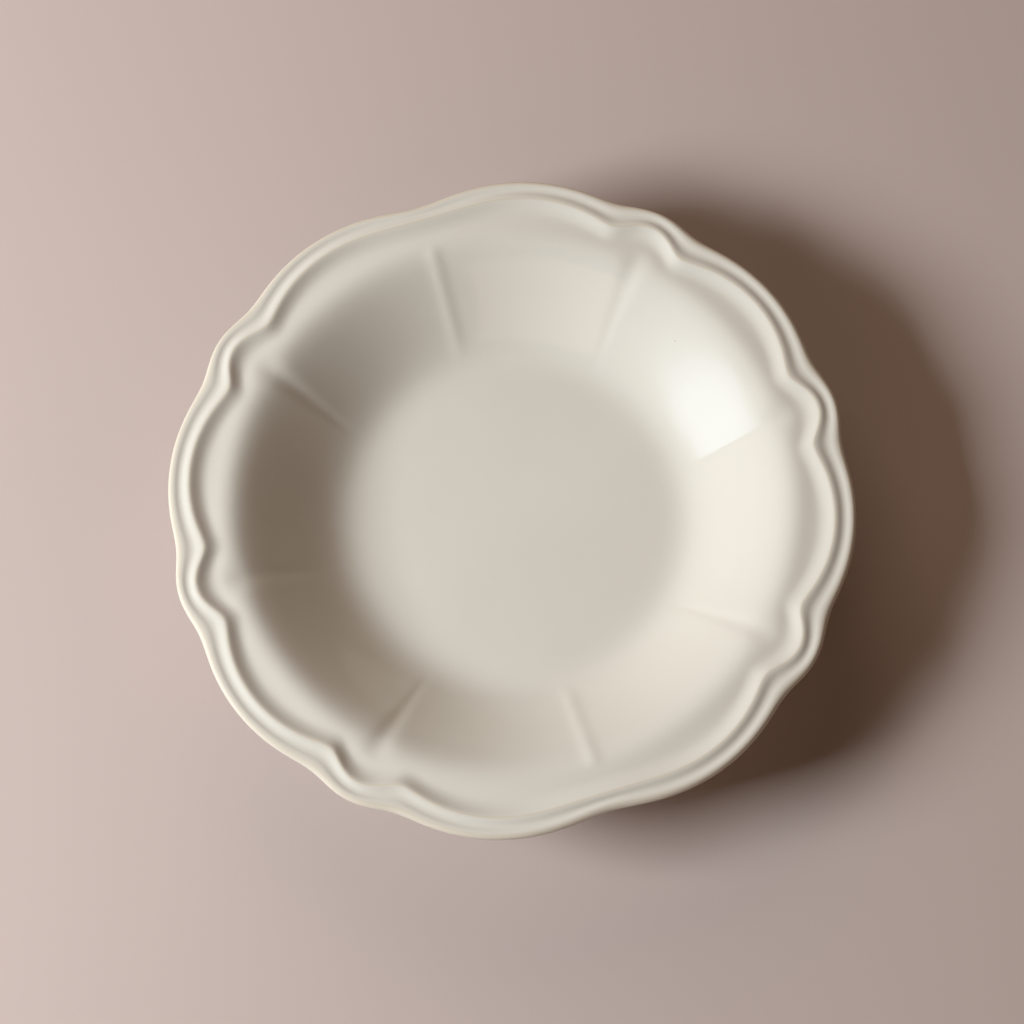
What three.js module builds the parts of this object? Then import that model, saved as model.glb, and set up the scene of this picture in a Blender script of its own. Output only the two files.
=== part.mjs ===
// A soup plate with a scalloped, moulded rim, built up as the real one is: a fired clay body,
// a glaze coat over its face and back, and a glazed panel inside its bare foot ring.
// Millimetres, +Z up. The foot ring stands on Z = 0, the plate's axis is the Z axis, and the
// rim's two plain notches lie on the Y axis.

import * as THREE from 'three';

// Foot ring: it runs round under the edge of the floor and is left bare below the glaze line.
const FOOT_HEIGHT = 3.95;
const FOOT_WIDTH = 5.6;
const FOOT_OFFSET = 11;
const FOOT_EDGE = 0.8;
const GLAZE_LINE = 2.2;
const PANEL_MARGIN = 2;

// Glaze: its thickness, and the clearance that keeps it a body of its own on the clay.
const GLAZE_THICKNESS = 0.45;
const GLAZE_CLEARANCE = 0.1;

// Glazed face, cut through the crest of a long arc: runs go outward, rises go upward.
const FLOOR_RADIUS = 51;
const LOWER_WALL_RUN = 25.5;
const LOWER_WALL_RISE = 10.4;
const UPPER_WALL_RUN = 24.7;
const UPPER_WALL_RISE = 16;
const WALL_ANGLE = 40;
const FLANGE_RUN = 5.4;
const FLANGE_FALL = 0.2;
const COVE_RUN = 6.5;
const COVE_RISE = 2.2;
const GROOVE_RUN = 3.2;
const GROOVE_FALL = 1;
const LIP_RUN = 2.4;
const LIP_RISE = 0.4;
const EDGE_RUN = 1.8;
const EDGE_FALL = 2;

// How thick the ware is under each stretch of the face, and how the flange's back tilts.
const FLOOR_THICKNESS = 5.1;
const WALL_THICKNESS = 4.9;
const FLANGE_THICKNESS = 5;
const FLANGE_TILT = 9;
const EDGE_THICKNESS = 5.2;
const EDGE_UNDERCUT = 3.4;

// Lengths of the curve handles that ease one stretch of the section into the next.
const FLOOR_EASE = 10.5;
const LOWER_WALL_EASE = 15.5;
const UPPER_WALL_EASE = 18.7;
const SHOULDER_EASE = 6;
const FLANGE_EASE = 2;
const COVE_EASE = 3.3;
const BEAD_EASE = 1.2;
const LIP_EASE = 1.1;
const FLANGE_BACK_EASE = 4.5;
const WALL_BACK_EASE = 9;
const FOOT_EASE = 4.5;

// Scallop: places of the lobes from a plain notch, in degrees, mirrored into each quarter.
const NOTCH_ANGLES = [0];
const ARC_ANGLES = [20.7, 67];
const BUMP_ANGLES = [43.8, 90];

// Fall of a lobe's outline per square degree away from its crest, on the bead and on the edge.
const ARC_BOW = { bead: 0.025, edge: 0.016 };
const BUMP_BOW = { bead: 0.16, edge: 0.08 };
const BUMP_DROP = { bead: 0, edge: 0.8 };
const NOTCH_DEPTH = 3.6;
const NOTCH_BOW = 0.004;
const NOTCH_SWELL = 1.6;
const LOBE_SOFTNESS = 2.7;
const SCALLOP_FADE = 10;

// Creases on the well's wall: a flute runs down from each bump, a ridge from each notch.
// The first size of a pair holds at the floor and the second at the shoulder.
const CREASE_START = 10;
const CREASE_TAPER = { foot: 14, head: 9 };
const FLUTE_DEPTH = { foot: 0.15, head: 1.05 };
const FLUTE_HALF_WIDTH = { foot: 1.7, head: 5.4 };
const FLUTE_DEEPENING = 1.7;
const FLUTE_FLARE = 2.5;
const RIDGE_HEIGHT = 0.36;
const RIDGE_HALF_WIDTH = 2.7;

// Facets: columns close together on each crease with even steps between two creases, and
// how many rings make each stretch of the section.
const CREASE_COLUMNS = [-2.6, -1.2, 0, 1.2, 2.6];
const STEPS_BETWEEN = 7;
const FACE_RINGS = { lowerWall: 3, upperWall: 3, flange: 1, cove: 3, groove: 2, lip: 2, edge: 2 };
const BACK_RINGS = { edge: 2, flange: 1, upperWall: 2, lowerWall: 3 };

const { degToRad, euclideanModulo, lerp, smoothstep, clamp } = THREE.MathUtils;
const at = (radius, height) => new THREE.Vector2(radius, height);
const shifted = (point, [run, rise]) => at(point.x + run, point.y + rise);
const along = (slope, length) => [length * Math.cos(slope), length * Math.sin(slope)];
const against = (slope, length) => along(slope, -length);

// Corner points of the glazed section: the face from the floor outward, then the back inward.
const clayDepth = GLAZE_CLEARANCE + GLAZE_THICKNESS;
const footRadius = FLOOR_RADIUS + FOOT_OFFSET;
const wallSlope = degToRad(WALL_ANGLE);
const flangeSlope = degToRad(FLANGE_TILT);
const upWall = (length) => along(wallSlope, length);
const downWall = (length) => against(wallSlope, length);

const floorEdge = at(FLOOR_RADIUS, FOOT_HEIGHT + FLOOR_THICKNESS + clayDepth);
const wallMiddle = shifted(floorEdge, [LOWER_WALL_RUN, LOWER_WALL_RISE]);
const shoulder = shifted(wallMiddle, [UPPER_WALL_RUN, UPPER_WALL_RISE]);
const gutter = shifted(shoulder, [FLANGE_RUN, -FLANGE_FALL]);
const bead = shifted(gutter, [COVE_RUN, COVE_RISE]);
const groove = shifted(bead, [GROOVE_RUN, -GROOVE_FALL]);
const lip = shifted(groove, [LIP_RUN, LIP_RISE]);
const edge = shifted(lip, [EDGE_RUN, -EDGE_FALL]);

const underEdge = at(edge.x - EDGE_UNDERCUT, lip.y - EDGE_THICKNESS);
const shoulderBack = shifted(shoulder, [0, -FLANGE_THICKNESS]);
const wallBack = shifted(wallMiddle, along(wallSlope - Math.PI / 2, WALL_THICKNESS));
const glazeEnd = at(footRadius + clayDepth, GLAZE_LINE);

// One eased stretch between two corner points, as the rings that follow the first corner.
function stretch(from, leaving, arriving, to, rings) {
  const curve = new THREE.CubicBezierCurve(from, shifted(from, leaving), shifted(to, arriving), to);
  return curve.getPoints(rings).slice(1);
}

const facePoints = [
  at(0, floorEdge.y),
  floorEdge,
  ...stretch(floorEdge, [FLOOR_EASE, 0], downWall(LOWER_WALL_EASE), wallMiddle, FACE_RINGS.lowerWall),
  ...stretch(wallMiddle, upWall(UPPER_WALL_EASE), [-SHOULDER_EASE, 0], shoulder, FACE_RINGS.upperWall),
  ...stretch(shoulder, [FLANGE_EASE, 0], [-FLANGE_EASE, 0], gutter, FACE_RINGS.flange),
  ...stretch(gutter, [COVE_EASE, 0], [-BEAD_EASE, 0], bead, FACE_RINGS.cove),
  ...stretch(bead, [BEAD_EASE, 0], [-BEAD_EASE, 0], groove, FACE_RINGS.groove),
  ...stretch(groove, [LIP_EASE, 0], [-LIP_EASE, 0], lip, FACE_RINGS.lip),
  ...stretch(lip, [LIP_EASE, 0], [0, LIP_EASE], edge, FACE_RINGS.edge),
];
const flangeLeave = against(flangeSlope, FLANGE_BACK_EASE);
const flangeArrive = along(flangeSlope, FLANGE_BACK_EASE);
const wallLeave = downWall(WALL_BACK_EASE);
const wallArrive = upWall(WALL_BACK_EASE);
const backPoints = [
  ...stretch(edge, [0, -LIP_EASE], along(flangeSlope, LIP_EASE), underEdge, BACK_RINGS.edge),
  ...stretch(underEdge, flangeLeave, flangeArrive, shoulderBack, BACK_RINGS.flange),
  ...stretch(shoulderBack, against(flangeSlope, WALL_BACK_EASE), wallArrive, wallBack, BACK_RINGS.upperWall),
  ...stretch(wallBack, wallLeave, [0, FOOT_EASE], glazeEnd, BACK_RINGS.lowerWall),
];

// A station is one ring of the glazed surface, with the direction that points out of the ware.
const glazedPoints = [...facePoints, ...backPoints];
function outwardNormal(index) {
  if (index === 0) return at(0, 1);
  const before = glazedPoints[index - 1];
  const after = glazedPoints[index + 1] ?? glazedPoints[index];
  const run = after.clone().sub(before).normalize();
  return at(-run.y, run.x);
}
const stations = glazedPoints.map((point, index) => ({
  point,
  normal: outwardNormal(index),
  onFace: index < facePoints.length,
}));

// All the places round the rim where the lobes or creases of one kind lie.
function mirrored(angles) {
  const places = angles.flatMap((angle) => [angle, -angle, 180 - angle, 180 + angle]);
  const turns = new Set(places.map((place) => euclideanModulo(place, 360)));
  return [...turns].sort((first, second) => first - second);
}
const arcs = mirrored(ARC_ANGLES);
const bumps = mirrored(BUMP_ANGLES);
const notches = mirrored(NOTCH_ANGLES);
const turnBetween = (first, second) => euclideanModulo(first - second + 180, 360) - 180;

// Outline of a rim line whose long arcs crest at the given radius: the lobes' soft maximum.
function rimLine(angle, crest) {
  const outward = (crest - bead.x) / (edge.x - bead.x);
  const between = (size) => lerp(size.bead, size.edge, outward);
  const swell = 4 * NOTCH_SWELL * outward * (1 - outward);
  const lobe = (reach, bow) => (place) => reach - bow * turnBetween(angle, place) ** 2;
  const reaches = [
    ...arcs.map(lobe(crest, between(ARC_BOW))),
    ...bumps.map(lobe(crest - between(BUMP_DROP), between(BUMP_BOW))),
    ...notches.map(lobe(bead.x - NOTCH_DEPTH + swell, NOTCH_BOW)),
  ];
  const sum = reaches.reduce((total, reach) => total + Math.exp((reach - crest) / LOBE_SOFTNESS), 0);
  return crest + LOBE_SOFTNESS * Math.log(sum);
}

// How far the scallop moves a ring in or out at one angle, fading out from gutter to wall.
function scallopShift(radius, angle) {
  const crest = clamp(radius, bead.x, edge.x);
  const strength = smoothstep(radius, shoulder.x - SCALLOP_FADE, gutter.x);
  return strength * (rimLine(angle, crest) - crest);
}

// Height of the wall and flange, which stay round under the scalloped moulding.
const roundPoints = facePoints.filter((point) => point.x <= gutter.x);
function roundHeight(radius) {
  const next = roundPoints.findIndex((point) => point.x > radius);
  if (next < 1) return gutter.y;
  const [inner, outer] = [roundPoints[next - 1], roundPoints[next]];
  return lerp(inner.y, outer.y, (radius - inner.x) / (outer.x - inner.x));
}

// How far the flutes sink the face of the wall, and the ridges lift it, at one angle.
function creaseDrop(radius, angle) {
  const start = FLOOR_RADIUS + CREASE_START;
  const climb = clamp((radius - start) / (shoulder.x - start), 0, 1);
  const spread = (size, power) => lerp(size.foot, size.head, climb ** power);
  const depth = spread(FLUTE_DEPTH, FLUTE_DEEPENING);
  const halfWidth = spread(FLUTE_HALF_WIDTH, FLUTE_FLARE);
  const sideways = (place) => radius * degToRad(turnBetween(angle, place));
  const bell = (place, width) => Math.exp(-((sideways(place) / width) ** 2));
  const flutes = bumps.map((place) => depth * bell(place, halfWidth));
  const ridges = notches.map((place) => -RIDGE_HEIGHT * bell(place, RIDGE_HALF_WIDTH));
  const foot = smoothstep(radius, start, start + CREASE_TAPER.foot);
  const head = 1 - smoothstep(radius, shoulder.x - CREASE_TAPER.head, shoulder.x);
  return foot * head * [...flutes, ...ridges].reduce((total, drop) => total + drop, 0);
}

// How far a ring of the face falls at one angle to keep to the round wall and its creases.
function faceFall(radius, angle) {
  const moved = radius + scallopShift(radius, angle);
  return roundHeight(radius) - roundHeight(moved) + creaseDrop(radius, angle);
}

// Angles of the facet columns, counted from the notch on +Y.
function columnAngles() {
  const creases = mirrored([...NOTCH_ANGLES, ...BUMP_ANGLES]);
  const margin = CREASE_COLUMNS.at(-1);
  return creases.flatMap((crease, index) => {
    const next = creases[index + 1] ?? creases[0] + 360;
    const even = Array.from({ length: STEPS_BETWEEN - 1 }, (_, step) =>
      lerp(crease + margin, next - margin, (step + 1) / STEPS_BETWEEN));
    return [...CREASE_COLUMNS.map((offset) => crease + offset), ...even];
  });
}
const columns = columnAngles();

// A ring of a section: a plain round one, or a station sunk below the glazed surface.
const plain = (radius, height) => ({ point: at(radius, height), shift: () => 0, fall: () => 0 });
const sunk = (depth) => ({ point, normal, onFace }) => ({
  point: point.clone().addScaledVector(normal, -depth),
  shift: (angle) => scallopShift(point.x, angle),
  fall: (angle) => (onFace ? faceFall(point.x, angle) : 0),
});

// Revolves a section that runs from the axis out and back to it, and scallops every ring.
// Rings before the turn and after it split their facets alike, so nested skins stay parallel.
function revolve(rings, turn) {
  const geometry = new THREE.LatheGeometry(rings.map(({ point }) => point), columns.length);
  const position = geometry.getAttribute('position');
  const facets = [];
  for (let column = 0; column <= columns.length; column += 1) {
    const angle = columns[column % columns.length];
    const heading = degToRad(angle + 90);
    rings.forEach(({ point, shift, fall }, row) => {
      const vertex = column * rings.length + row;
      const radius = point.x > 0 ? point.x + shift(angle) : 0;
      const height = point.y - fall(angle);
      position.setXYZ(vertex, radius * Math.cos(heading), radius * Math.sin(heading), height);
      if (column === columns.length || row === rings.length - 1) return;
      const [near, far] = [vertex, vertex + rings.length];
      const split = row < turn
        ? [near, far, far + 1, near, far + 1, near + 1]
        : [near, far, near + 1, far + 1, near + 1, far];
      facets.push(...split);
    });
  }
  geometry.setIndex(facets);
  geometry.computeVertexNormals();
  return geometry;
}

const clay = new THREE.MeshStandardMaterial({ color: 0xd3c4ad, roughness: 0.85, metalness: 0 });
const faceGlaze = new THREE.MeshStandardMaterial({ color: 0xdcd5c8, roughness: 0.15, metalness: 0 });
const panelGlaze = new THREE.MeshStandardMaterial({ color: 0xd8d0c1, roughness: 0.2, metalness: 0 });

function subPart(name, geometry, material) {
  const mesh = new THREE.Mesh(geometry, material);
  mesh.name = name;
  return mesh;
}

// The clay body: its foot ring stands out of the glaze, its face and back lie under it.
const footInnerRadius = footRadius - FOOT_WIDTH;
const claySection = [
  plain(0, FOOT_HEIGHT),
  plain(footInnerRadius - FOOT_EDGE, FOOT_HEIGHT),
  plain(footInnerRadius, FOOT_HEIGHT - FOOT_EDGE),
  plain(footInnerRadius, FOOT_EDGE),
  plain(footInnerRadius + FOOT_EDGE, 0),
  plain(footRadius - FOOT_EDGE, 0),
  plain(footRadius, FOOT_EDGE),
  ...stations.map(sunk(clayDepth)).reverse(),
];
const clayBody = subPart('clay_body', revolve(claySection, 0), clay);

// The glaze coat: one skin from the middle of the floor, over the rim, to the glaze line.
const coatSection = [
  ...stations.map(sunk(GLAZE_THICKNESS)),
  ...stations.map(sunk(0)).reverse(),
];
const glazeCoat = subPart('glaze_coat', revolve(coatSection, stations.length), faceGlaze);

// The glazed panel inside the foot ring, on the underside of the base.
const panelTop = FOOT_HEIGHT - GLAZE_CLEARANCE;
const panelRadius = footInnerRadius - PANEL_MARGIN;
const panelSection = [
  plain(0, panelTop - GLAZE_THICKNESS),
  plain(panelRadius - GLAZE_THICKNESS, panelTop - GLAZE_THICKNESS),
  plain(panelRadius, panelTop),
  plain(0, panelTop),
];
const baseGlaze = subPart('base_glaze', revolve(panelSection, 0), panelGlaze);

const soupPlate = new THREE.Group();
soupPlate.add(clayBody, glazeCoat, baseGlaze);

export default soupPlate;
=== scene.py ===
"""Dresses the scalloped soup plate: its glazed face and back, its bare foot and its base panel.

The plate stands in its own frame, in metres, with the notches of the rim on the Y axis.
Sizes of the plate and the camera are millimetres and degrees, and MM brings them into the
frame. Sizes of the studio and of the patterns in the finishes are in metres.
"""

import logging
import math
from abc import ABC, abstractmethod
from dataclasses import dataclass, field, replace
from enum import Enum
from typing import ClassVar

import bpy
import numpy as np
from mathutils import Matrix, Vector


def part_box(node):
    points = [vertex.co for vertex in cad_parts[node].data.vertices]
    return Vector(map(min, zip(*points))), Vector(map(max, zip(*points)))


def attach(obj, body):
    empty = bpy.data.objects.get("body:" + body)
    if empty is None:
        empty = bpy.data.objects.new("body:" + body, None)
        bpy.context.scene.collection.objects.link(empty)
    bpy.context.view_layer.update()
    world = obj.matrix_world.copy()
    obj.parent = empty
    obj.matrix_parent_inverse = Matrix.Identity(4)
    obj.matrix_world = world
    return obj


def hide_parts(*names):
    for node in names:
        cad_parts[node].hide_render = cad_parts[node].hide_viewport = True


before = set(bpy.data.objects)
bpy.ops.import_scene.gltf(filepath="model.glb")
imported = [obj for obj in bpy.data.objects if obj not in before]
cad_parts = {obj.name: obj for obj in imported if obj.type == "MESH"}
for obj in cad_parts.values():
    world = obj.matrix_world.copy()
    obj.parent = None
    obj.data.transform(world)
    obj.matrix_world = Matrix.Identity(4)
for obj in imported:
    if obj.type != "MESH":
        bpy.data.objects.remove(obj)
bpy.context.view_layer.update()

MM = 0.001
BODY = "root"
NOTCH_HEADING = 90.0
RING_MARK = "section_ring"
THIN_MARK = "glaze_thinness"
WELD_GAP = 0.002

Point = tuple[float, float]
Colour = tuple[float, float, float, float]

log = logging.getLogger("soup_plate")


class Side(Enum):
    """Which side of the ware a ring of the section lies on."""

    FACE = "face"
    BACK = "back"
    FOOT = "foot"


class Shows(Enum):
    """What a studio light shows in: the shading of a surface, the gleam on the glaze, or both."""

    SHADING = "shading"
    GLEAM = "gleam"
    BOTH = "both"


class Slot(Enum):
    """The record's material slots."""

    CLAY = "fired_clay"
    GLAZE = "cream_glaze"
    PANEL = "panel_glaze"


@dataclass(frozen=True)
class Ring:
    """One ring of a turned section, before the scallop moves it.

    Attributes:
        radius: Distance from the plate's axis.
        height: Height above the plane that the foot stands on.
        station: Radius on the glazed surface whose scallop the ring follows, or 0 for a round ring.
        side: Side of the ware that the ring lies on.
        thinness: How far the glaze has run thin here, from 0 for a hollow to 1 for a sharp crest.
    """

    radius: float
    height: float
    station: float = 0.0
    side: Side = Side.FOOT
    thinness: float = 0.0


@dataclass(frozen=True)
class Station:
    """One ring of the glazed surface, with the way out of the ware and the bend of the section."""

    radius: float
    height: float
    out_run: float
    out_rise: float
    side: Side
    bend: float

    def sunk(self, depth: float, thinness: float = 0.0) -> Ring:
        """Gives the ring that lies under this station.

        Args:
            depth: Distance below the glazed surface.
            thinness: How thin the glaze lies on the ring.

        Returns:
            The ring, which follows this station's scallop.
        """
        radius = max(self.radius - depth * self.out_run, 0.0)
        height = self.height - depth * self.out_rise
        return Ring(radius, height, self.radius, self.side, thinness)


def smooth_between(value: np.ndarray | float, low: float, high: float) -> np.ndarray:
    """Eases from 0 at low to 1 at high."""
    share = np.clip((np.asarray(value, float) - low) / (high - low), 0.0, 1.0)
    return share * share * (3.0 - 2.0 * share)


def turn_between(angle: np.ndarray, place: float) -> np.ndarray:
    """Gives the signed turn in degrees from a place on the rim to each angle."""
    return (angle - place + 180.0) % 360.0 - 180.0


def step(point: Point, run: float, rise: float) -> Point:
    """Gives the point that lies a run and a rise away."""
    return point[0] + run, point[1] + rise


def along(slope: float, length: float) -> Point:
    """Gives the run and the rise of a length laid along a slope in radians."""
    return length * math.cos(slope), length * math.sin(slope)


def arch(share: np.ndarray) -> np.ndarray:
    """Rises from 0 to 1 at the half and falls back to 0."""
    return 4.0 * share * (1.0 - share)


def between(pair: tuple[float, float], share: np.ndarray) -> np.ndarray:
    """Gives the value that lies a share of the way through a pair."""
    return pair[0] + (pair[1] - pair[0]) * share


def mirrored(angles: tuple[float, ...]) -> list[float]:
    """Repeats places given from a notch into all four quarters of the rim.

    Args:
        angles: Places in the first quarter, in degrees from the notch.

    Returns:
        The places all round the rim, in order and without doubles.
    """
    places = set()
    for angle in angles:
        for turn in (angle, -angle, 180.0 - angle, 180.0 + angle):
            places.add(turn % 360.0)
    return sorted(places)


@dataclass(frozen=True)
class Stretch:
    """One curve of the section, from one corner to the next.

    Attributes:
        side: Side of the ware that it lies on.
        start: Radius and height of the corner that it leaves.
        end: Radius and height of the corner that it reaches.
        slopes: Headings at the two corners, in radians.
        eases: Lengths of the curve's handles at the two corners.
        rings: Number of rings after the first corner.
    """

    side: Side
    start: Point
    end: Point
    slopes: tuple[float, float]
    eases: tuple[float, float]
    rings: int

    def points(self) -> list[np.ndarray]:
        """Steps along the curve, leaving out its first corner.

        Returns:
            Radius and height of each ring.
        """
        first = np.array(self.start)
        last = np.array(self.end)
        second = first + along(self.slopes[0], self.eases[0])
        third = last - along(self.slopes[1], self.eases[1])
        places = []
        for share in np.linspace(0.0, 1.0, self.rings + 1)[1:]:
            rest = 1.0 - share
            places.append(
                rest**3 * first + 3 * rest**2 * share * second
                + 3 * rest * share**2 * third + share**3 * last
            )
        return places


@dataclass(frozen=True)
class PlateSection:
    """Section of the glazed plate through the crest of a long arc.

    Runs go outward, rises and falls go up and down, and eases are the handles of the curves
    that lead from one corner to the next. The clay lies its depth below the glazed surface,
    and the glaze stays a clearance off it.
    """

    bead_height: float
    clay_depth: float
    clearance: float = 0.1
    clay_foot_radius: float = 62.0
    floor_radius: float = 51.0
    lower_wall_run: float = 25.5
    lower_wall_rise: float = 10.4
    upper_wall_run: float = 24.7
    upper_wall_rise: float = 16.0
    wall_angle: float = 40.0
    flange_run: float = 5.4
    flange_fall: float = 0.2
    cove_run: float = 6.5
    cove_rise: float = 2.2
    groove_run: float = 3.2
    groove_fall: float = 0.8
    lip_run: float = 2.4
    lip_rise: float = 0.4
    edge_run: float = 1.8
    edge_fall: float = 2.0
    edge_thickness: float = 5.2
    edge_undercut: float = 3.4
    flange_thickness: float = 5.0
    flange_tilt: float = 9.0
    wall_thickness: float = 4.9
    glaze_line: float = 2.2
    floor_ease: float = 10.5
    lower_wall_ease: float = 15.5
    upper_wall_ease: float = 18.7
    shoulder_ease: float = 6.0
    flange_ease: float = 2.0
    cove_ease: float = 3.3
    bead_ease: float = 1.2
    lip_ease: float = 1.1
    flange_back_ease: float = 4.5
    wall_back_ease: float = 9.0
    foot_ease: float = 4.5
    floor_rings: int = 10
    wall_rings: int = 14
    flange_rings: int = 6
    cove_rings: int = 12
    bead_rings: int = 9
    lip_rings: int = 7
    flange_back_rings: int = 6
    wall_back_rings: int = 8
    foot_rings: int = 10

    @property
    def foot_radius(self) -> float:
        """Radius of the foot over its glaze."""
        return self.clay_foot_radius + self.clay_depth

    @property
    def floor_height(self) -> float:
        """Height of the well's floor."""
        climb = self.lower_wall_rise + self.upper_wall_rise - self.flange_fall + self.cove_rise
        return self.bead_height - climb

    @property
    def shoulder_radius(self) -> float:
        """Radius of the shoulder between the wall and the flange."""
        return self.floor_radius + self.lower_wall_run + self.upper_wall_run

    @property
    def gutter_radius(self) -> float:
        """Radius of the flange's lowest line, where the cove begins."""
        return self.shoulder_radius + self.flange_run

    @property
    def bead_radius(self) -> float:
        """Radius of the bead's crest."""
        return self.gutter_radius + self.cove_run

    @property
    def edge_radius(self) -> float:
        """Radius of the widest line of the rim."""
        return self.bead_radius + self.groove_run + self.lip_run + self.edge_run

    def stations(self) -> list[Station]:
        """Draws the glazed surface from the middle of the floor, over the rim, to the glaze line.

        Returns:
            The stations in order, the first one on the plate's axis.
        """
        middle = (0.0, self.floor_height)
        floor = (self.floor_radius, self.floor_height)
        wall_middle = step(floor, self.lower_wall_run, self.lower_wall_rise)
        shoulder = step(wall_middle, self.upper_wall_run, self.upper_wall_rise)
        gutter = step(shoulder, self.flange_run, -self.flange_fall)
        bead = step(gutter, self.cove_run, self.cove_rise)
        groove = step(bead, self.groove_run, -self.groove_fall)
        lip = step(groove, self.lip_run, self.lip_rise)
        edge = step(lip, self.edge_run, -self.edge_fall)
        under_edge = (edge[0] - self.edge_undercut, lip[1] - self.edge_thickness)
        shoulder_back = step(shoulder, 0.0, -self.flange_thickness)
        glaze_end = (self.foot_radius, self.glaze_line)

        wall = math.radians(self.wall_angle)
        tilt = math.radians(self.flange_tilt)
        wall_back = step(wall_middle, *along(wall - math.pi / 2, self.wall_thickness))
        level, down = 0.0, -math.pi / 2
        wall_in, flange_in = wall + math.pi, tilt + math.pi
        # Handles of a third of a straight stretch step along it evenly.
        floor_ease = (self.floor_radius / 3, self.floor_radius / 3)
        flange_ease = (self.flange_ease, self.flange_ease)
        bead_ease = (self.bead_ease, self.bead_ease)
        lip_ease = (self.lip_ease, self.lip_ease)
        under_ease = (self.flange_back_ease, self.flange_back_ease)
        back_ease = (self.wall_back_ease, self.wall_back_ease)
        stretches = [
            Stretch(Side.FACE, middle, floor, (level, level), floor_ease, self.floor_rings),
            Stretch(Side.FACE, floor, wall_middle, (level, wall),
                    (self.floor_ease, self.lower_wall_ease), self.wall_rings),
            Stretch(Side.FACE, wall_middle, shoulder, (wall, level),
                    (self.upper_wall_ease, self.shoulder_ease), self.wall_rings),
            Stretch(Side.FACE, shoulder, gutter, (level, level), flange_ease, self.flange_rings),
            Stretch(Side.FACE, gutter, bead, (level, level),
                    (self.cove_ease, self.bead_ease), self.cove_rings),
            Stretch(Side.FACE, bead, groove, (level, level), bead_ease, self.bead_rings),
            Stretch(Side.FACE, groove, lip, (level, level), lip_ease, self.lip_rings),
            Stretch(Side.FACE, lip, edge, (level, down), lip_ease, self.lip_rings),
            Stretch(Side.BACK, edge, under_edge, (down, flange_in), lip_ease, self.lip_rings),
            Stretch(Side.BACK, under_edge, shoulder_back, (flange_in, flange_in), under_ease,
                    self.flange_back_rings),
            Stretch(Side.BACK, shoulder_back, wall_back, (flange_in, wall_in), back_ease,
                    self.wall_back_rings),
            Stretch(Side.BACK, wall_back, glaze_end, (wall_in, down),
                    (self.wall_back_ease, self.foot_ease), self.foot_rings),
        ]
        points = [np.array(middle)]
        sides = [Side.FACE]
        for stretch in stretches:
            points += stretch.points()
            sides += [stretch.side] * stretch.rings
        return self._with_normals(np.array(points), sides)

    def round_height(self, radius: np.ndarray) -> np.ndarray:
        """Gives the height of the wall and flange, which stay round under the scalloped moulding.

        Args:
            radius: Radii on the face.

        Returns:
            The heights, level beyond the gutter.
        """
        face = [station for station in self.stations() if station.side is Side.FACE]
        inner = [station for station in face if station.radius <= self.gutter_radius]
        radii = [station.radius for station in inner]
        heights = [station.height for station in inner]
        return np.interp(radius, radii, heights)

    @staticmethod
    def _with_normals(points: np.ndarray, sides: list[Side]) -> list[Station]:
        """Adds the outward direction and the bend to each point of the section.

        Args:
            points: Radius and height of each point, in order.
            sides: Side of the ware for each point.

        Returns:
            One station for each point.
        """
        runs = np.diff(points, axis=0)
        lengths = np.hypot(runs[:, 0], runs[:, 1])
        headings = np.unwrap(np.arctan2(runs[:, 1], runs[:, 0]))
        before = np.concatenate((headings[:1], headings))
        after = np.concatenate((headings, headings[-1:]))
        length_before = np.concatenate((lengths[:1], lengths))
        length_after = np.concatenate((lengths, lengths[-1:]))
        spans = (length_before + length_after) / 2
        heading = (before + after) / 2
        heading[0] = 0.0
        bend = (before - after) / spans
        return [
            Station(float(radius), float(height), -math.sin(turn), math.cos(turn), side, float(curl))
            for (radius, height), turn, side, curl in zip(points, heading, sides, bend)
        ]


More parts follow.
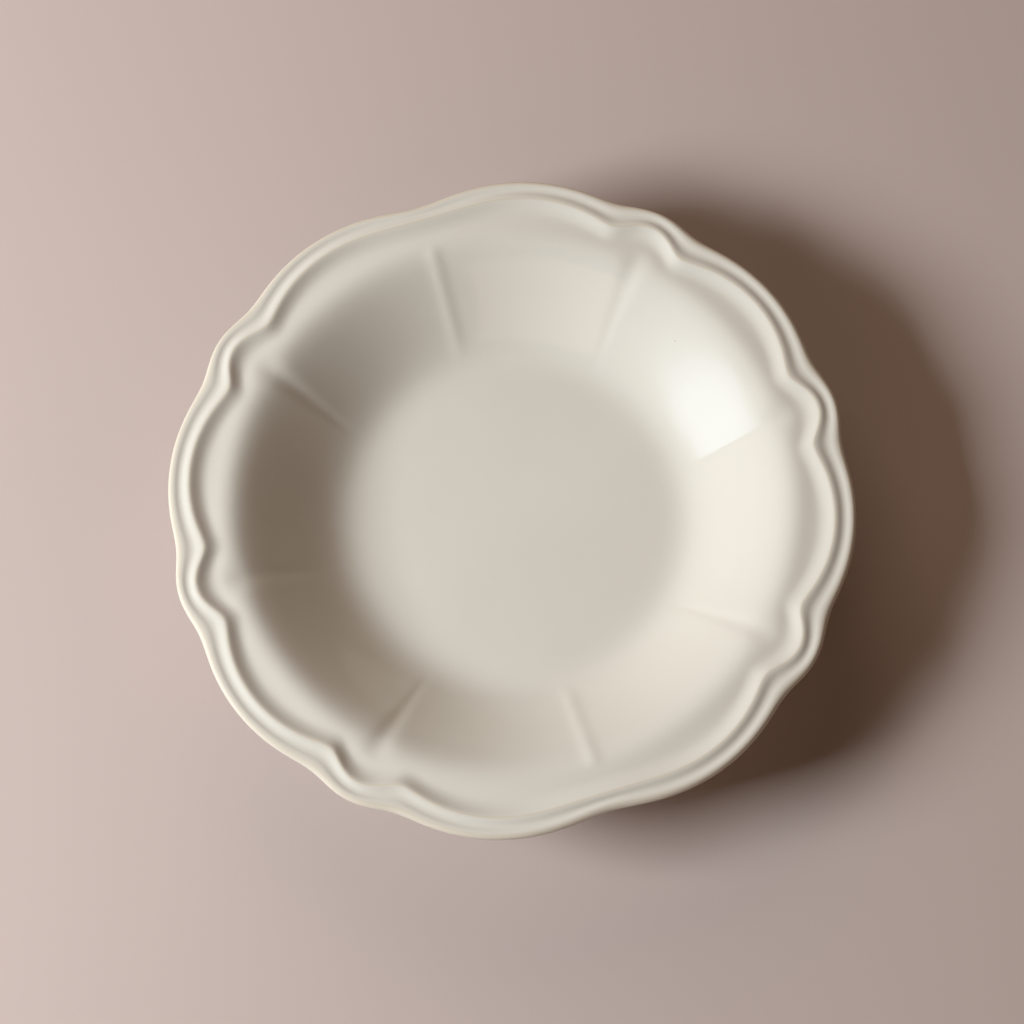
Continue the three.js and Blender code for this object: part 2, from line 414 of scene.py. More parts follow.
@dataclass(frozen=True)
class Scallop:
    """Outline of the rim: long arcs with a small bump or a plain notch between each two.

    Bows are the fall of a lobe's outline per square degree away from its crest. The first
    value of a pair holds on the bead and the second on the outer edge.
    """

    section: PlateSection
    arc_angles: tuple[float, ...] = (20.7, 67.0)
    bump_angles: tuple[float, ...] = (43.8, 90.0)
    notch_angles: tuple[float, ...] = (0.0,)
    arc_bow: tuple[float, float] = (0.025, 0.016)
    bump_bow: tuple[float, float] = (0.16, 0.08)
    bump_drop: tuple[float, float] = (0.0, 0.8)
    notch_depth: float = 3.6
    notch_bow: float = 0.004
    notch_swell: float = 1.6
    softness: float = 2.7
    fade: float = 10.0

    def line(self, angle: np.ndarray, crest: np.ndarray) -> np.ndarray:
        """Gives the radius of a rim line as the soft maximum of its lobes.

        Args:
            angle: Angles from the notch on +Y, in degrees.
            crest: Radius of the line at the crests of the long arcs, for each angle.

        Returns:
            The radius of the line at each angle.
        """
        section = self.section
        outward = (crest - section.bead_radius) / (section.edge_radius - section.bead_radius)
        arc_bow = between(self.arc_bow, outward)
        bump_bow = between(self.bump_bow, outward)
        bump_reach = crest - between(self.bump_drop, outward)
        notch_reach = section.bead_radius - self.notch_depth + self.notch_swell * arch(outward)
        lobes = (
            (self.arc_angles, crest, arc_bow),
            (self.bump_angles, bump_reach, bump_bow),
            (self.notch_angles, notch_reach, self.notch_bow),
        )
        total = np.zeros_like(crest)
        for places, reach, bow in lobes:
            for place in mirrored(places):
                lobe = reach - bow * turn_between(angle, place) ** 2
                total += np.exp((lobe - crest) / self.softness)
        return crest + self.softness * np.log(total)

    def shift(self, radius: np.ndarray, angle: np.ndarray) -> np.ndarray:
        """Gives how far the scallop moves rings of the section in or out.

        Args:
            radius: Radius of each point's station.
            angle: Angle of each point from the notch, in degrees.

        Returns:
            The outward shift of each point.
        """
        section = self.section
        crest = np.clip(radius, section.bead_radius, section.edge_radius)
        start = section.shoulder_radius - self.fade
        strength = smooth_between(radius, start, section.gutter_radius)
        return strength * (self.line(angle, crest) - crest)


@dataclass(frozen=True)
class Creases:
    """Flutes that run down the wall from the bumps, and ridges that run down from the notches.

    The first value of a pair holds at the foot of a crease and the second at its head. The
    head runs out over the flange, past the shoulder.
    """

    section: PlateSection
    scallop: Scallop
    start: float = 10.0
    overrun: float = 3.5
    foot_taper: float = 14.0
    head_taper: float = 7.5
    flute_depth: tuple[float, float] = (0.15, 1.05)
    flute_half_width: tuple[float, float] = (1.7, 5.4)
    deepening: float = 2.0
    flare: float = 2.5
    ridge_height: float = 0.36
    ridge_half_width: float = 2.7

    def drop(self, radius: np.ndarray, angle: np.ndarray) -> np.ndarray:
        """Gives how far the creases sink the face of the wall.

        Args:
            radius: Radius of each point's station.
            angle: Angle of each point from the notch, in degrees.

        Returns:
            The fall of each point, less than 0 on a ridge and 0 away from the creases.
        """
        low = self.section.floor_radius + self.start
        high = self.section.shoulder_radius + self.overrun
        climb = np.clip((radius - low) / (high - low), 0.0, 1.0)
        depth = between(self.flute_depth, climb**self.deepening)
        half_width = between(self.flute_half_width, climb**self.flare)

        def bell(place: float, half: np.ndarray | float) -> np.ndarray:
            """Gives 1 on a crease's own line, and less to both sides of it."""
            sideways = radius * np.radians(turn_between(angle, place))
            return np.exp(-((sideways / half) ** 2))

        total = np.zeros_like(radius)
        for place in mirrored(self.scallop.bump_angles):
            total += depth * bell(place, half_width)
        for place in mirrored(self.scallop.notch_angles):
            total -= self.ridge_height * bell(place, self.ridge_half_width)
        foot = smooth_between(radius, low, low + self.foot_taper)
        head = 1.0 - smooth_between(radius, high - self.head_taper, high)
        return foot * head * total


@dataclass(frozen=True)
class PlateForm:
    """The whole form of the plate, which moves the rings of a turned piece into place.

    The columns of a mesh are pulled toward the creases, which lie nearly evenly round the plate.
    """

    section: PlateSection
    scallop: Scallop
    creases: Creases
    column_pull: float = 0.5
    creases_per_turn: int = 8

    def shape(self, mesh: bpy.types.Mesh, rings: list[Ring]) -> None:
        """Scallops and creases a turned mesh whose vertices carry the number of their ring.

        Args:
            mesh: The turned mesh, in metres.
            rings: The section that it was turned from.
        """
        count = len(mesh.vertices)
        place = np.empty(count * 3)
        mesh.vertices.foreach_get("co", place)
        place = place.reshape(-1, 3)
        number = np.empty(count, np.int32)
        mesh.attributes[RING_MARK].data.foreach_get("value", number)

        angle = np.degrees(np.arctan2(place[:, 1], place[:, 0])) - NOTCH_HEADING
        pull = np.degrees(self.column_pull / self.creases_per_turn)
        angle = angle - pull * np.sin(np.radians(self.creases_per_turn * angle))
        radius = np.array([ring.radius for ring in rings])[number]
        height = np.array([ring.height for ring in rings])[number]
        station = np.array([ring.station for ring in rings])[number]
        on_face = np.array([ring.side is Side.FACE for ring in rings])[number]

        moved = np.where(station > 0.0, self.scallop.shift(station, angle), 0.0)
        settled = self.section.round_height(station + moved) - self.section.round_height(station)
        height = height + np.where(on_face, settled - self.creases.drop(station, angle), 0.0)
        radius = np.where(radius > 0.0, radius + moved, 0.0)
        heading = np.radians(angle + NOTCH_HEADING)
        columns = (radius * np.cos(heading), radius * np.sin(heading), height)
        mesh.vertices.foreach_set("co", (np.stack(columns, axis=1) * MM).ravel())

        thinness = np.array([ring.thinness for ring in rings])[number]
        mark = mesh.attributes.new(THIN_MARK, "FLOAT", "POINT")
        mark.data.foreach_set("value", thinness)
        mesh.attributes.remove(mesh.attributes[RING_MARK])
        mesh.update()


def turn_section(name: str, rings: list[Ring], columns: int) -> bpy.types.Object:
    """Draws a section point by point and spins it round the plate's axis into a closed mesh.

    Args:
        name: Name of the new piece.
        rings: The section, from the axis out and back to the axis.
        columns: Number of steps round the axis.

    Returns:
        The new object, whose vertices carry the number of their ring.
    """
    bpy.ops.object.select_all(action="DESELECT")
    bpy.ops.mesh.primitive_plane_add(size=MM)
    piece = bpy.context.object
    piece.name = name
    piece.data.name = name
    bpy.ops.object.mode_set(mode="EDIT")
    bpy.ops.mesh.select_all(action="SELECT")
    bpy.ops.mesh.merge(type="CENTER")
    bpy.ops.transform.translate(value=(rings[0].radius * MM, 0.0, rings[0].height * MM))
    for ring, following in zip(rings, rings[1:]):
        run = (following.radius - ring.radius) * MM
        rise = (following.height - ring.height) * MM
        bpy.ops.mesh.extrude_vertices_move(TRANSFORM_OT_translate={"value": (run, 0.0, rise)})
    bpy.ops.object.mode_set(mode="OBJECT")
    drawn = np.array([(vertex.co.x / MM, vertex.co.z / MM) for vertex in piece.data.vertices])
    wanted = np.array([(ring.radius, ring.height) for ring in rings])
    numbers = np.linalg.norm(drawn[:, None] - wanted[None], axis=2).argmin(axis=1)
    mark = piece.data.attributes.new(RING_MARK, "INT", "POINT")
    mark.data.foreach_set("value", numbers.astype(np.int32))
    bpy.ops.object.mode_set(mode="EDIT")
    bpy.ops.mesh.select_all(action="SELECT")
    bpy.ops.mesh.spin(
        steps=columns, angle=2 * math.pi, use_auto_merge=True, center=(0, 0, 0), axis=(0, 0, 1)
    )
    bpy.ops.mesh.select_all(action="SELECT")
    bpy.ops.mesh.remove_doubles(threshold=MM * WELD_GAP)
    bpy.ops.mesh.normals_make_consistent(inside=False)
    bpy.ops.object.mode_set(mode="OBJECT")
    return piece


class NodeDesk:
    """Lays out shader nodes in one node tree.

    A Mix node has sockets for every type, so those for colours are known by their numbers.
    """

    MIX_INPUTS = (0, 6, 7)
    MIX_RESULT = 2

    def __init__(self, tree: bpy.types.NodeTree) -> None:
        """Keeps the tree that the nodes go into."""
        self.tree = tree

    def add(self, kind: str, **settings: object) -> bpy.types.Node:
        """Adds a node and sets its properties.

        Args:
            kind: Type name of the node.
            settings: Properties of the node and their values.

        Returns:
            The new node.
        """
        node = self.tree.nodes.new(kind)
        for name, value in settings.items():
            setattr(node, name, value)
        return node

    def put(self, socket: bpy.types.NodeSocket, value: object) -> None:
        """Links an output socket to an input, or sets a plain value on it.

        Args:
            socket: The input.
            value: The output socket or the value.
        """
        if isinstance(value, bpy.types.NodeSocket):
            self.tree.links.new(value, socket)
        else:
            socket.default_value = value

    def feed(self, node: bpy.types.Node, **inputs: object) -> bpy.types.Node:
        """Sets or links the inputs of a node, with spaces in their names as underscores.

        Args:
            node: The node to feed.
            inputs: A value, or an output socket to link, for each input.

        Returns:
            The same node.
        """
        for name, value in inputs.items():
            self.put(node.inputs[name.replace("_", " ")], value)
        return node

    def math(self, operation: str, first: object, second: object = 0.0) -> bpy.types.NodeSocket:
        """Adds a Math node.

        Args:
            operation: Name of the operation.
            first: First value or socket.
            second: Second value or socket.

        Returns:
            The result's socket.
        """
        node = self.add("ShaderNodeMath", operation=operation)
        for socket, value in zip(node.inputs, (first, second)):
            self.put(socket, value)
        return node.outputs[0]

    def ease(self, value: bpy.types.NodeSocket, low: float, high: float) -> bpy.types.NodeSocket:
        """Eases a value from 0 to 1.

        Args:
            value: The value's socket.
            low: Value that gives 0.
            high: Value that gives 1.

        Returns:
            The result's socket.
        """
        node = self.add("ShaderNodeMapRange", interpolation_type="SMOOTHSTEP")
        self.feed(node, Value=value, From_Min=low, From_Max=high)
        return node.outputs["Result"]

    def mix(self, share: object, first: object, second: object) -> bpy.types.NodeSocket:
        """Mixes two colours.

        Args:
            share: Share of the second colour, as a value or socket.
            first: First colour or socket.
            second: Second colour or socket.

        Returns:
            The mixed colour's socket.
        """
        node = self.add("ShaderNodeMix", data_type="RGBA")
        for number, value in zip(self.MIX_INPUTS, (share, first, second)):
            self.put(node.inputs[number], value)
        return node.outputs[self.MIX_RESULT]

    def place(self) -> bpy.types.NodeSocket:
        """Gives the socket of the place on the piece."""
        return self.add("ShaderNodeTexCoord").outputs["Object"]

    def noise(self, scale: float) -> bpy.types.NodeSocket:
        """Spreads a soft noise over the piece and gives its socket."""
        node = self.feed(self.add("ShaderNodeTexNoise"), Vector=self.place(), Scale=scale)
        return node.outputs[0]


class KilnMarks:
    """Small marks that firing leaves in clay and glaze, as one node group for all finishes."""

    NAME = "kiln_marks"
    LEAST_SPECK = 0.35
    SPECK_EDGE = 0.6
    CLOUD_DETAIL = 3.0
    CLOUD_ROUGHNESS = 0.55

    @classmethod
    def group(cls) -> bpy.types.NodeTree:
        """Gives the group, built on its first use.

        Returns:
            A group with Scale, Share, Size and Cloud Scale in, and Specks and Cloud out.
        """
        tree = bpy.data.node_groups.get(cls.NAME)
        if tree is not None:
            return tree
        tree = bpy.data.node_groups.new(cls.NAME, "ShaderNodeTree")
        for name in ("Scale", "Share", "Size", "Cloud Scale"):
            tree.interface.new_socket(name=name, in_out="INPUT", socket_type="NodeSocketFloat")
        for name in ("Specks", "Cloud"):
            tree.interface.new_socket(name=name, in_out="OUTPUT", socket_type="NodeSocketFloat")
        desk = NodeDesk(tree)
        given = desk.add("NodeGroupInput").outputs
        place = desk.place()
        cells = desk.feed(desk.add("ShaderNodeTexVoronoi"), Vector=place, Scale=given["Scale"])
        pick = desk.add("ShaderNodeSeparateColor")
        desk.feed(pick, Color=cells.outputs["Color"])
        chosen = desk.math("LESS_THAN", pick.outputs[0], given["Share"])
        grown = desk.math("ADD", pick.outputs[1], cls.LEAST_SPECK)
        size = desk.math("MULTIPLY", given["Size"], grown)
        near = desk.math("SUBTRACT", 1.0, desk.math("DIVIDE", cells.outputs["Distance"], size))
        specks = desk.math("MULTIPLY", chosen, desk.ease(near, 0.0, cls.SPECK_EDGE))
        cloud = desk.add("ShaderNodeTexNoise")
        desk.feed(cloud, Vector=place, Scale=given["Cloud Scale"])
        desk.feed(cloud, Detail=cls.CLOUD_DETAIL, Roughness=cls.CLOUD_ROUGHNESS)
        out = desk.add("NodeGroupOutput")
        desk.feed(out, Specks=specks, Cloud=cloud.outputs[0])
        return tree

    @classmethod
    def place(
        cls, desk: NodeDesk, scale: float, share: float, size: float, cloud_scale: float
    ) -> bpy.types.Node:
        """Puts the group into a material.

        Args:
            desk: Desk of the material's node tree.
            scale: Cells per metre that may hold a speck.
            share: Share of the cells that hold one.
            size: Speck radius as a share of a cell.
            cloud_scale: Clouds per metre.

        Returns:
            The group's node.
        """
        node = desk.add("ShaderNodeGroup", node_tree=cls.group())
        return desk.feed(node, Scale=scale, Share=share, Size=size, Cloud_Scale=cloud_scale)


@dataclass(frozen=True)
class Finish(ABC):
    """A finish that a piece is dressed in."""

    name: str

    def material(self) -> bpy.types.Material:
        """Mixes the finish.

        Returns:
            The finished material.
        """
        material = bpy.data.materials.new(self.name)
        material.use_nodes = True
        tree = material.node_tree
        self.lay_out(NodeDesk(tree), tree.nodes["Principled BSDF"])
        return material

    @abstractmethod
    def lay_out(self, desk: NodeDesk, shader: bpy.types.Node) -> None:
        """Lays out the finish's own nodes and feeds the shader with them.

        Args:
            desk: Desk of the material's node tree.
            shader: The material's shader.
        """


@dataclass(frozen=True)
class GlazeFinish(Finish):
    """Glossy warm white glaze, thin and tan on sharp crests, with a few specks and pinholes."""

    colour: Colour = (0.658, 0.638, 0.582, 1.0)
    cloud_colour: Colour = (0.643, 0.62, 0.562, 1.0)
    thin_colour: Colour = (0.56, 0.45, 0.30, 1.0)
    speck_colour: Colour = (0.22, 0.15, 0.09, 1.0)
    thin_strength: float = 0.4
    speck_strength: float = 0.35
    roughness: tuple[float, float] = (0.04, 0.08)
    ior: float = 1.5
    cells: float = 95.0
    speck_share: float = 0.05
    speck_size: float = 0.035
    clouds: float = 16.0
    cloud_range: tuple[float, float] = (0.35, 0.65)
    ripple_scale: float = 420.0
    ripple_height: float = 0.000004

    def lay_out(self, desk: NodeDesk, shader: bpy.types.Node) -> None:
        """Lays out the glaze's colour, gloss and ripple.

        Args:
            desk: Desk of the material's node tree.
            shader: The material's shader.
        """
        marks = KilnMarks.place(desk, self.cells, self.speck_share, self.speck_size, self.clouds)
        cloud = desk.ease(marks.outputs["Cloud"], *self.cloud_range)
        thin = desk.add("ShaderNodeAttribute", attribute_name=THIN_MARK).outputs["Fac"]
        base = desk.mix(cloud, self.colour, self.cloud_colour)
        base = desk.mix(desk.math("MULTIPLY", thin, self.thin_strength), base, self.thin_colour)
        specks = desk.math("MULTIPLY", marks.outputs["Specks"], self.speck_strength)
        base = desk.mix(specks, base, self.speck_colour)
        gloss = desk.add("ShaderNodeMapRange")
        desk.feed(gloss, Value=cloud, To_Min=self.roughness[0], To_Max=self.roughness[1])
        ripple = desk.noise(self.ripple_scale)
        height = desk.math("SUBTRACT", ripple, marks.outputs["Specks"])
        bump = desk.feed(desk.add("ShaderNodeBump"), Height=height, Distance=self.ripple_height)
        desk.feed(
            shader,
            Base_Color=base,
            Roughness=gloss.outputs[0],
            Normal=bump.outputs[0],
            IOR=self.ior,
        )


@dataclass(frozen=True)
class BareClayFinish(Finish):
    """Fired clay wiped free of glaze: matt, sandy and clouded, with iron specks."""

    colour: Colour = (0.60, 0.50, 0.375, 1.0)
    cloud_colour: Colour = (0.52, 0.425, 0.31, 1.0)
    speck_colour: Colour = (0.20, 0.13, 0.08, 1.0)
    speck_strength: float = 0.6
    roughness: float = 0.85
    cells: float = 420.0
    speck_share: float = 0.12
    speck_size: float = 0.12
    clouds: float = 70.0
    cloud_range: tuple[float, float] = (0.3, 0.7)
    grain_scale: float = 2600.0
    grain_height: float = 0.00005

    def lay_out(self, desk: NodeDesk, shader: bpy.types.Node) -> None:
        """Lays out the clay's colour and grain.

        Args:
            desk: Desk of the material's node tree.
            shader: The material's shader.
        """
        marks = KilnMarks.place(desk, self.cells, self.speck_share, self.speck_size, self.clouds)
        cloud = desk.ease(marks.outputs["Cloud"], *self.cloud_range)
        base = desk.mix(cloud, self.colour, self.cloud_colour)
        specks = desk.math("MULTIPLY", marks.outputs["Specks"], self.speck_strength)
        base = desk.mix(specks, base, self.speck_colour)
        grain = desk.noise(self.grain_scale)
        bump = desk.feed(desk.add("ShaderNodeBump"), Height=grain, Distance=self.grain_height)
        desk.feed(shader, Base_Color=base, Normal=bump.outputs[0], Roughness=self.roughness)


@dataclass(frozen=True)
class FloorFinish(Finish):
    """Plain pale studio floor."""

    colour: Colour = (0.525, 0.44, 0.415, 1.0)
    shade: Colour = (0.505, 0.425, 0.40, 1.0)
    clouds: float = 5.0
    roughness: float = 0.9
    specular: float = 0.1

    def lay_out(self, desk: NodeDesk, shader: bpy.types.Node) -> None:
        """Lays out the floor's matt colour.

        Args:
            desk: Desk of the material's node tree.
            shader: The material's shader.
        """
        desk.feed(
            shader,
            Base_Color=desk.mix(desk.noise(self.clouds), self.colour, self.shade),
            Roughness=self.roughness,
            Specular_IOR_Level=self.specular,
        )


@dataclass(kw_only=True)
class TurnedPiece(ABC):
    """A piece of the plate that is turned from its section, shaped and dressed."""

    NAME: ClassVar[str]
    form: PlateForm
    finish: Finish
    columns: int = 360

    @abstractmethod
    def rings(self) -> list[Ring]:
        """Lays out the closed section, from the axis out and back to the axis."""

    @abstractmethod
    def build(self) -> bpy.types.Object:
        """Models and dresses the piece, and says what it stands for."""

    def turn(self) -> bpy.types.Object:
        """Turns the section, scallops and creases it and lays the finish on.

        Returns:
            The dressed piece.
        """
        rings = self.rings()
        piece = turn_section(self.NAME, rings, self.columns)
        self.form.shape(piece.data, rings)
        bpy.ops.object.shade_smooth()
        piece.data.materials.append(self.finish.material())
        return piece


@dataclass(kw_only=True)
class GlazeCoat(TurnedPiece):
    """The glaze skin from the middle of the floor, over the rim, to the line on the foot.

    Its hidden inner side keeps one ring in every hidden_skip. A bend of the section from the
    first to the second value of thin_bend thins the glaze.
    """

    NAME: ClassVar[str] = "glazed_coat"
    columns: int = 480
    hidden_skip: int = 4
    roll_steps: int = 6
    thin_bend: tuple[float, float] = (0.2, 0.75)

    def rings(self) -> list[Ring]:
        """Lays the section out along the clay, round the glaze line and back over the outside.

        Returns:
            The rings of the closed skin.
        """
        section = self.form.section
        stations = section.stations()
        thickness = section.clay_depth - section.clearance
        inside = [station.sunk(thickness) for station in stations[:: self.hidden_skip]]
        end = stations[-1].sunk(thickness)
        if inside[-1] != end:
            inside.append(end)
        half = thickness / 2
        rolled = []
        for turn in np.linspace(0.0, math.pi, self.roll_steps + 1)[1:-1]:
            ring = stations[-1].sunk(half + half * math.cos(turn))
            rolled.append(replace(ring, height=ring.height - half * math.sin(turn)))
        outside = []
        for station in stations:
            thinness = smooth_between(station.bend, *self.thin_bend)
            outside.append(station.sunk(0.0, float(thinness)))
        return [*inside, *rolled, *outside[::-1]]

    def build(self) -> bpy.types.Object:
        """Models and dresses the coat.

        Returns:
            The finished piece.
        """
        piece = self.turn()
        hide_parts("glaze_coat")
        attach(piece, BODY)
        return piece


@dataclass(kw_only=True)
class ClayBody(TurnedPiece):
    """The fired clay: it lies under the glaze and shows at the bare foot ring.

    Under the glaze it keeps one ring of the section in every hidden_skip.
    """

    NAME: ClassVar[str] = "fired_body"
    panel_top: float
    foot_width: float = 5.6
    foot_edge: float = 0.9
    root_fillet: float = 1.4
    corner_steps: int = 5
    hidden_skip: int = 3

    def corner(self, centre: Point, size: float, start: float) -> list[Ring]:
        """Rounds a corner of the foot with a quarter turn.

        Args:
            centre: Radius and height of the corner's centre.
            size: Radius of the corner, less than 0 to turn the other way.
            start: Direction of the first ring from the centre, in degrees.

        Returns:
            The rings of the corner.
        """
        quarter = np.linspace(0.0, 90.0 * np.sign(size), self.corner_steps + 1)
        turns = np.radians(start + quarter)
        return [Ring(*step(centre, *along(turn, abs(size)))) for turn in turns]

    def rings(self) -> list[Ring]:
        """Lays the section out from the base, round the foot and under the glaze to the floor.

        Returns:
            The rings of the closed body.
        """
        section = self.form.section
        outer = section.clay_foot_radius
        inner = outer - self.foot_width
        base_height = self.panel_top + section.clearance
        edge = self.foot_edge
        fillet = self.root_fillet
        base = [Ring(0.0, base_height), Ring(inner / 2, base_height)]
        root = self.corner((inner - fillet, base_height - fillet), -fillet, 90.0)
        inside = self.corner((inner + edge, edge), edge, 180.0)
        outside = self.corner((outer - edge, edge), edge, 270.0)
        stations = section.stations()[:: self.hidden_skip]
        covered = [station.sunk(section.clay_depth) for station in stations]
        return [*base, *root, *inside, *outside, *covered[::-1]]

    def build(self) -> bpy.types.Object:
        """Models and dresses the body.

        Returns:
            The finished piece.
        """
        piece = self.turn()
        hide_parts("clay_body")
        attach(piece, BODY)
        return piece


@dataclass(kw_only=True)
class BasePanel(TurnedPiece):
    """The glazed panel under the base, with the rolled edge of glaze that was wiped back.

    The rolled edge is roll_spread times as wide as the panel is thick.
    """

    NAME: ClassVar[str] = "base_panel"
    top: float
    low: float
    radius: float
    roll_spread: float = 2.0
    roll_steps: int = 6
    rings_across: int = 8

    def rings(self) -> list[Ring]:
        """Lays the section out over the underside, round the rolled edge and back on top.

        Returns:
            The rings of the closed panel.
        """
        rise = self.top - self.low
        run = self.roll_spread * rise
        across = np.linspace(0.0, self.radius - run, self.rings_across)
        under = [Ring(float(radius), self.low) for radius in across]
        turns = np.linspace(-math.pi / 2, 0.0, self.roll_steps)[1:]
        rolled = [
            Ring(self.radius - run * (1.0 - math.cos(turn)), self.top + rise * math.sin(turn))
            for turn in turns
        ]
        return [*under, *rolled, Ring(0.0, self.top)]

    def build(self) -> bpy.types.Object:
        """Models and dresses the panel.

        Returns:
            The finished piece.
        """
        piece = self.turn()
        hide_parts("base_glaze")
        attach(piece, BODY)
        return piece


@dataclass(frozen=True)
class PhotoCamera:
    """The camera, fitted to the rim's outline at the photograph's viewing angle.

    The outline was fitted in the plane that lies outline_fall below the bead's crest, and aim
    is the point of that plane at the middle of the image.
    """

    bead_height: float
    outline_fall: float = 2.0
    image_px: float = 1024.0
    focal_px: float = 2430.6
    sensor: float = 36.0
    distance: float = 846.8
    elevation: float = 72.36
    roll: float = 5.22
    turn: float = -11.74
    aim: Point = (0.11, -5.49)
    clip_start: float = 10.0

    def place(self) -> bpy.types.Object:
        """Adds the camera and makes it the scene's own.

        Returns:
            The camera object.
        """
        tilt = math.radians(self.elevation)
        roll = math.radians(self.roll)
        back = Vector((0.0, -math.cos(tilt), math.sin(tilt)))
        right = Vector((1.0, 0.0, 0.0))
        up = back.cross(right)
        across = right * math.cos(roll) - up * math.sin(roll)
        upward = right * math.sin(roll) + up * math.cos(roll)
        place = Vector((*self.aim, 0.0)) + back * self.distance
        rows = [[across[i], upward[i], back[i], place[i] * MM] for i in range(3)]
        turned = Matrix.Rotation(math.radians(self.turn), 4, "Z") @ Matrix([*rows, [0, 0, 0, 1]])
        bpy.ops.object.camera_add()
        camera = bpy.context.object
        camera.name = "photo_camera"
        plane = (self.bead_height - self.outline_fall) * MM
        camera.matrix_world = Matrix.Translation((0.0, 0.0, plane)) @ turned
        camera.data.sensor_width = self.sensor
        camera.data.lens = self.focal_px / self.image_px * self.sensor
        camera.data.clip_start = self.clip_start * MM
        bpy.context.scene.camera = camera
        return camera


@dataclass(frozen=True)
class Fade:
    """How a light fades toward its edges, as shares of its width and its height.

    Attributes:
        start: Share of the width over which it rises from one side.
        end: Share of the width over which it falls to the other side.
        brim: Share of the height over which it rises and falls.
    """

    start: float = 0.5
    end: float = 0.5
    brim: float = 0.5


@dataclass(frozen=True, kw_only=True)
class SoftBox:
    """One oblong studio light, placed by its direction as the camera's image shows it.

    Sizes are in metres, angles in degrees and power in watts.
    """

    name: str
    azimuth: float
    elevation: float = 30.0
    distance: float = 1.3
    width: float = 0.9
    height: float = 0.9
    power: float
    colour: tuple[float, float, float]
    shows: Shows = Shows.BOTH
    fade: Fade | None = None

    def place(self, turn: float) -> bpy.types.Object:
        """Adds the light, facing the plate.

        Args:
            turn: Turn of the image about the plate's axis, in degrees.

        Returns:
            The light object.
        """
        heading = math.radians(self.azimuth + turn)
        climb = math.radians(self.elevation)
        level = math.cos(climb)
        way = Vector((level * math.cos(heading), level * math.sin(heading), math.sin(climb)))
        bpy.ops.object.light_add(type="AREA", location=way * self.distance)
        lamp = bpy.context.object
        lamp.name = self.name
        lamp.rotation_euler = (-way).to_track_quat("-Z", "Y").to_euler()
        lamp.data.shape = "RECTANGLE"
        lamp.data.size = self.width
        lamp.data.size_y = self.height
        lamp.data.energy = self.power
        lamp.data.color = self.colour
        lamp.visible_diffuse = self.shows is not Shows.GLEAM
        lamp.visible_glossy = self.shows is not Shows.SHADING
        if self.fade is not None:
            self.soften(lamp.data, self.fade)
        return lamp

    def soften(self, light: bpy.types.AreaLight, fade: Fade) -> None:
        """Fades the light toward its edges, as a curtained window does.

        Args:
            light: The light to soften.
            fade: Shares of its width and height over which it fades.
        """
        light.use_nodes = True
        desk = NodeDesk(light.node_tree)
        place = desk.add("ShaderNodeSeparateXYZ")
        desk.feed(place, Vector=desk.add("ShaderNodeNewGeometry").outputs["Parametric"])
        across, up = place.outputs[0], place.outputs[1]
        edges = [
            desk.ease(across, 0.0, fade.start),
            desk.ease(across, 1.0, 1.0 - fade.end),
            desk.ease(up, 0.0, fade.brim),
            desk.ease(up, 1.0, 1.0 - fade.brim),
        ]
        strength = edges[0]
        for edge in edges[1:]:
            strength = desk.math("MULTIPLY", strength, edge)
        desk.feed(light.node_tree.nodes["Emission"], Strength=strength)


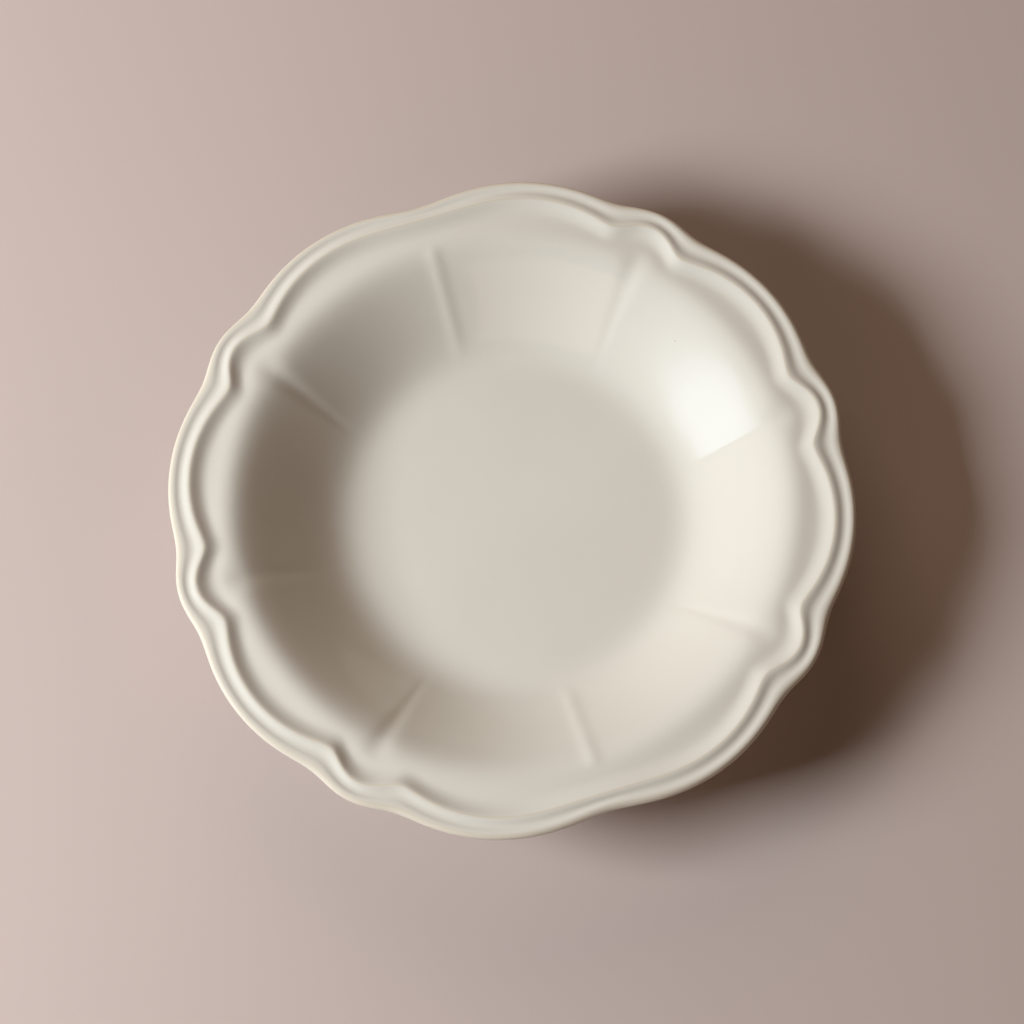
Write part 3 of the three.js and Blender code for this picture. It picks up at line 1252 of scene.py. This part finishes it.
@dataclass
class Studio:
    """The floor, the lights and the room, which is pale to look at but gives hardly any light.

    The gleams stand for the window as the glaze mirrors it, and the other lights do the shading.
    """

    turn: float
    floor_radius: float = 1.5
    floor_corners: int = 180
    floor_gap: float = 0.00005
    room_colour: Colour = (1.0, 0.62, 0.34, 1.0)
    room_strength: float = 0.01
    backdrop_colour: Colour = (1.0, 0.84, 0.76, 1.0)
    backdrop_strength: float = 0.38
    lights: tuple[SoftBox, ...] = field(
        default_factory=lambda: (
            SoftBox(name="key_window", azimuth=187.0, elevation=33.0, width=0.56, height=0.42,
                    power=24.1, colour=(0.95, 0.985, 1.0), shows=Shows.SHADING),
            SoftBox(name="key_gleam", azimuth=185.0, elevation=34.0, width=0.6, height=0.5,
                    power=1.6, colour=(0.58, 0.78, 1.0), shows=Shows.GLEAM, fade=Fade()),
            SoftBox(name="side_fill", azimuth=102.0, power=5.5, colour=(1.0, 0.78, 0.60),
                    shows=Shows.SHADING),
            SoftBox(name="far_fill", azimuth=0.0, power=1.15, colour=(1.0, 0.58, 0.32),
                    shows=Shows.SHADING),
            SoftBox(name="front_fill", azimuth=252.0, power=2.1, colour=(1.0, 0.70, 0.50)),
            SoftBox(name="window_gleam", azimuth=196.0, elevation=23.0, width=1.0, height=0.62,
                    power=7.4, colour=(0.58, 0.78, 1.0), shows=Shows.GLEAM,
                    fade=Fade(start=0.08, end=0.65)),
        )
    )

    def build(self) -> None:
        """Adds the floor, the lights and the room's own glow."""
        bpy.ops.object.select_all(action="DESELECT")
        bpy.ops.mesh.primitive_circle_add(
            vertices=self.floor_corners, radius=self.floor_radius, fill_type="NGON",
            location=(0.0, 0.0, -self.floor_gap),
        )
        floor = bpy.context.object
        floor.name = "studio_floor"
        floor.data.materials.append(FloorFinish("floor_matt").material())
        for light in self.lights:
            light.place(self.turn)
        bpy.context.scene.world = self.room()
        bpy.context.scene.view_settings.view_transform = "Standard"

    def room(self) -> bpy.types.World:
        """Makes the room: a dim warm glow, and a pale backdrop for the camera and for reflections.

        Returns:
            The scene's world.
        """
        world = bpy.data.worlds.new("studio_room")
        world.use_nodes = True
        desk = NodeDesk(world.node_tree)
        glow = world.node_tree.nodes["Background"]
        desk.feed(glow, Color=self.room_colour, Strength=self.room_strength)
        backdrop = desk.add("ShaderNodeBackground")
        desk.feed(backdrop, Color=self.backdrop_colour, Strength=self.backdrop_strength)
        path = desk.add("ShaderNodeLightPath").outputs
        seen = desk.math("MAXIMUM", path["Is Camera Ray"], path["Is Glossy Ray"])
        seen = desk.math("MAXIMUM", seen, path["Is Transmission Ray"])
        both = desk.add("ShaderNodeMixShader")
        for socket, source in zip(both.inputs, (seen, glow.outputs[0], backdrop.outputs[0])):
            desk.put(socket, source)
        desk.feed(world.node_tree.nodes["World Output"], Surface=both.outputs[0])
        return world


def main() -> None:
    """Builds the plate's pieces in order, then the studio and the camera."""
    logging.basicConfig(level=logging.INFO, format="%(message)s")
    _, clay_high = (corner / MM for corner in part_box("clay_body"))
    _, coat_high = (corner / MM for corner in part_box("glaze_coat"))
    panel_low, panel_high = (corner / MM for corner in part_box("base_glaze"))
    section = PlateSection(bead_height=coat_high.z, clay_depth=coat_high.z - clay_high.z)
    scallop = Scallop(section)
    form = PlateForm(section, scallop, Creases(section, scallop))
    parts = (
        GlazeCoat(form=form, finish=GlazeFinish("cream_glaze")),
        ClayBody(form=form, finish=BareClayFinish("bare_clay"), panel_top=panel_high.z),
        BasePanel(form=form, finish=GlazeFinish("panel_glaze"), top=panel_high.z,
                  low=panel_low.z, radius=panel_high.x),
    )
    for part in parts:
        piece = part.build()
        log.info("%s: %d faces", piece.name, len(piece.data.polygons))
    camera = PhotoCamera(bead_height=coat_high.z)
    Studio(camera.turn).build()
    camera.place()


if __name__ == "__main__":
    main()
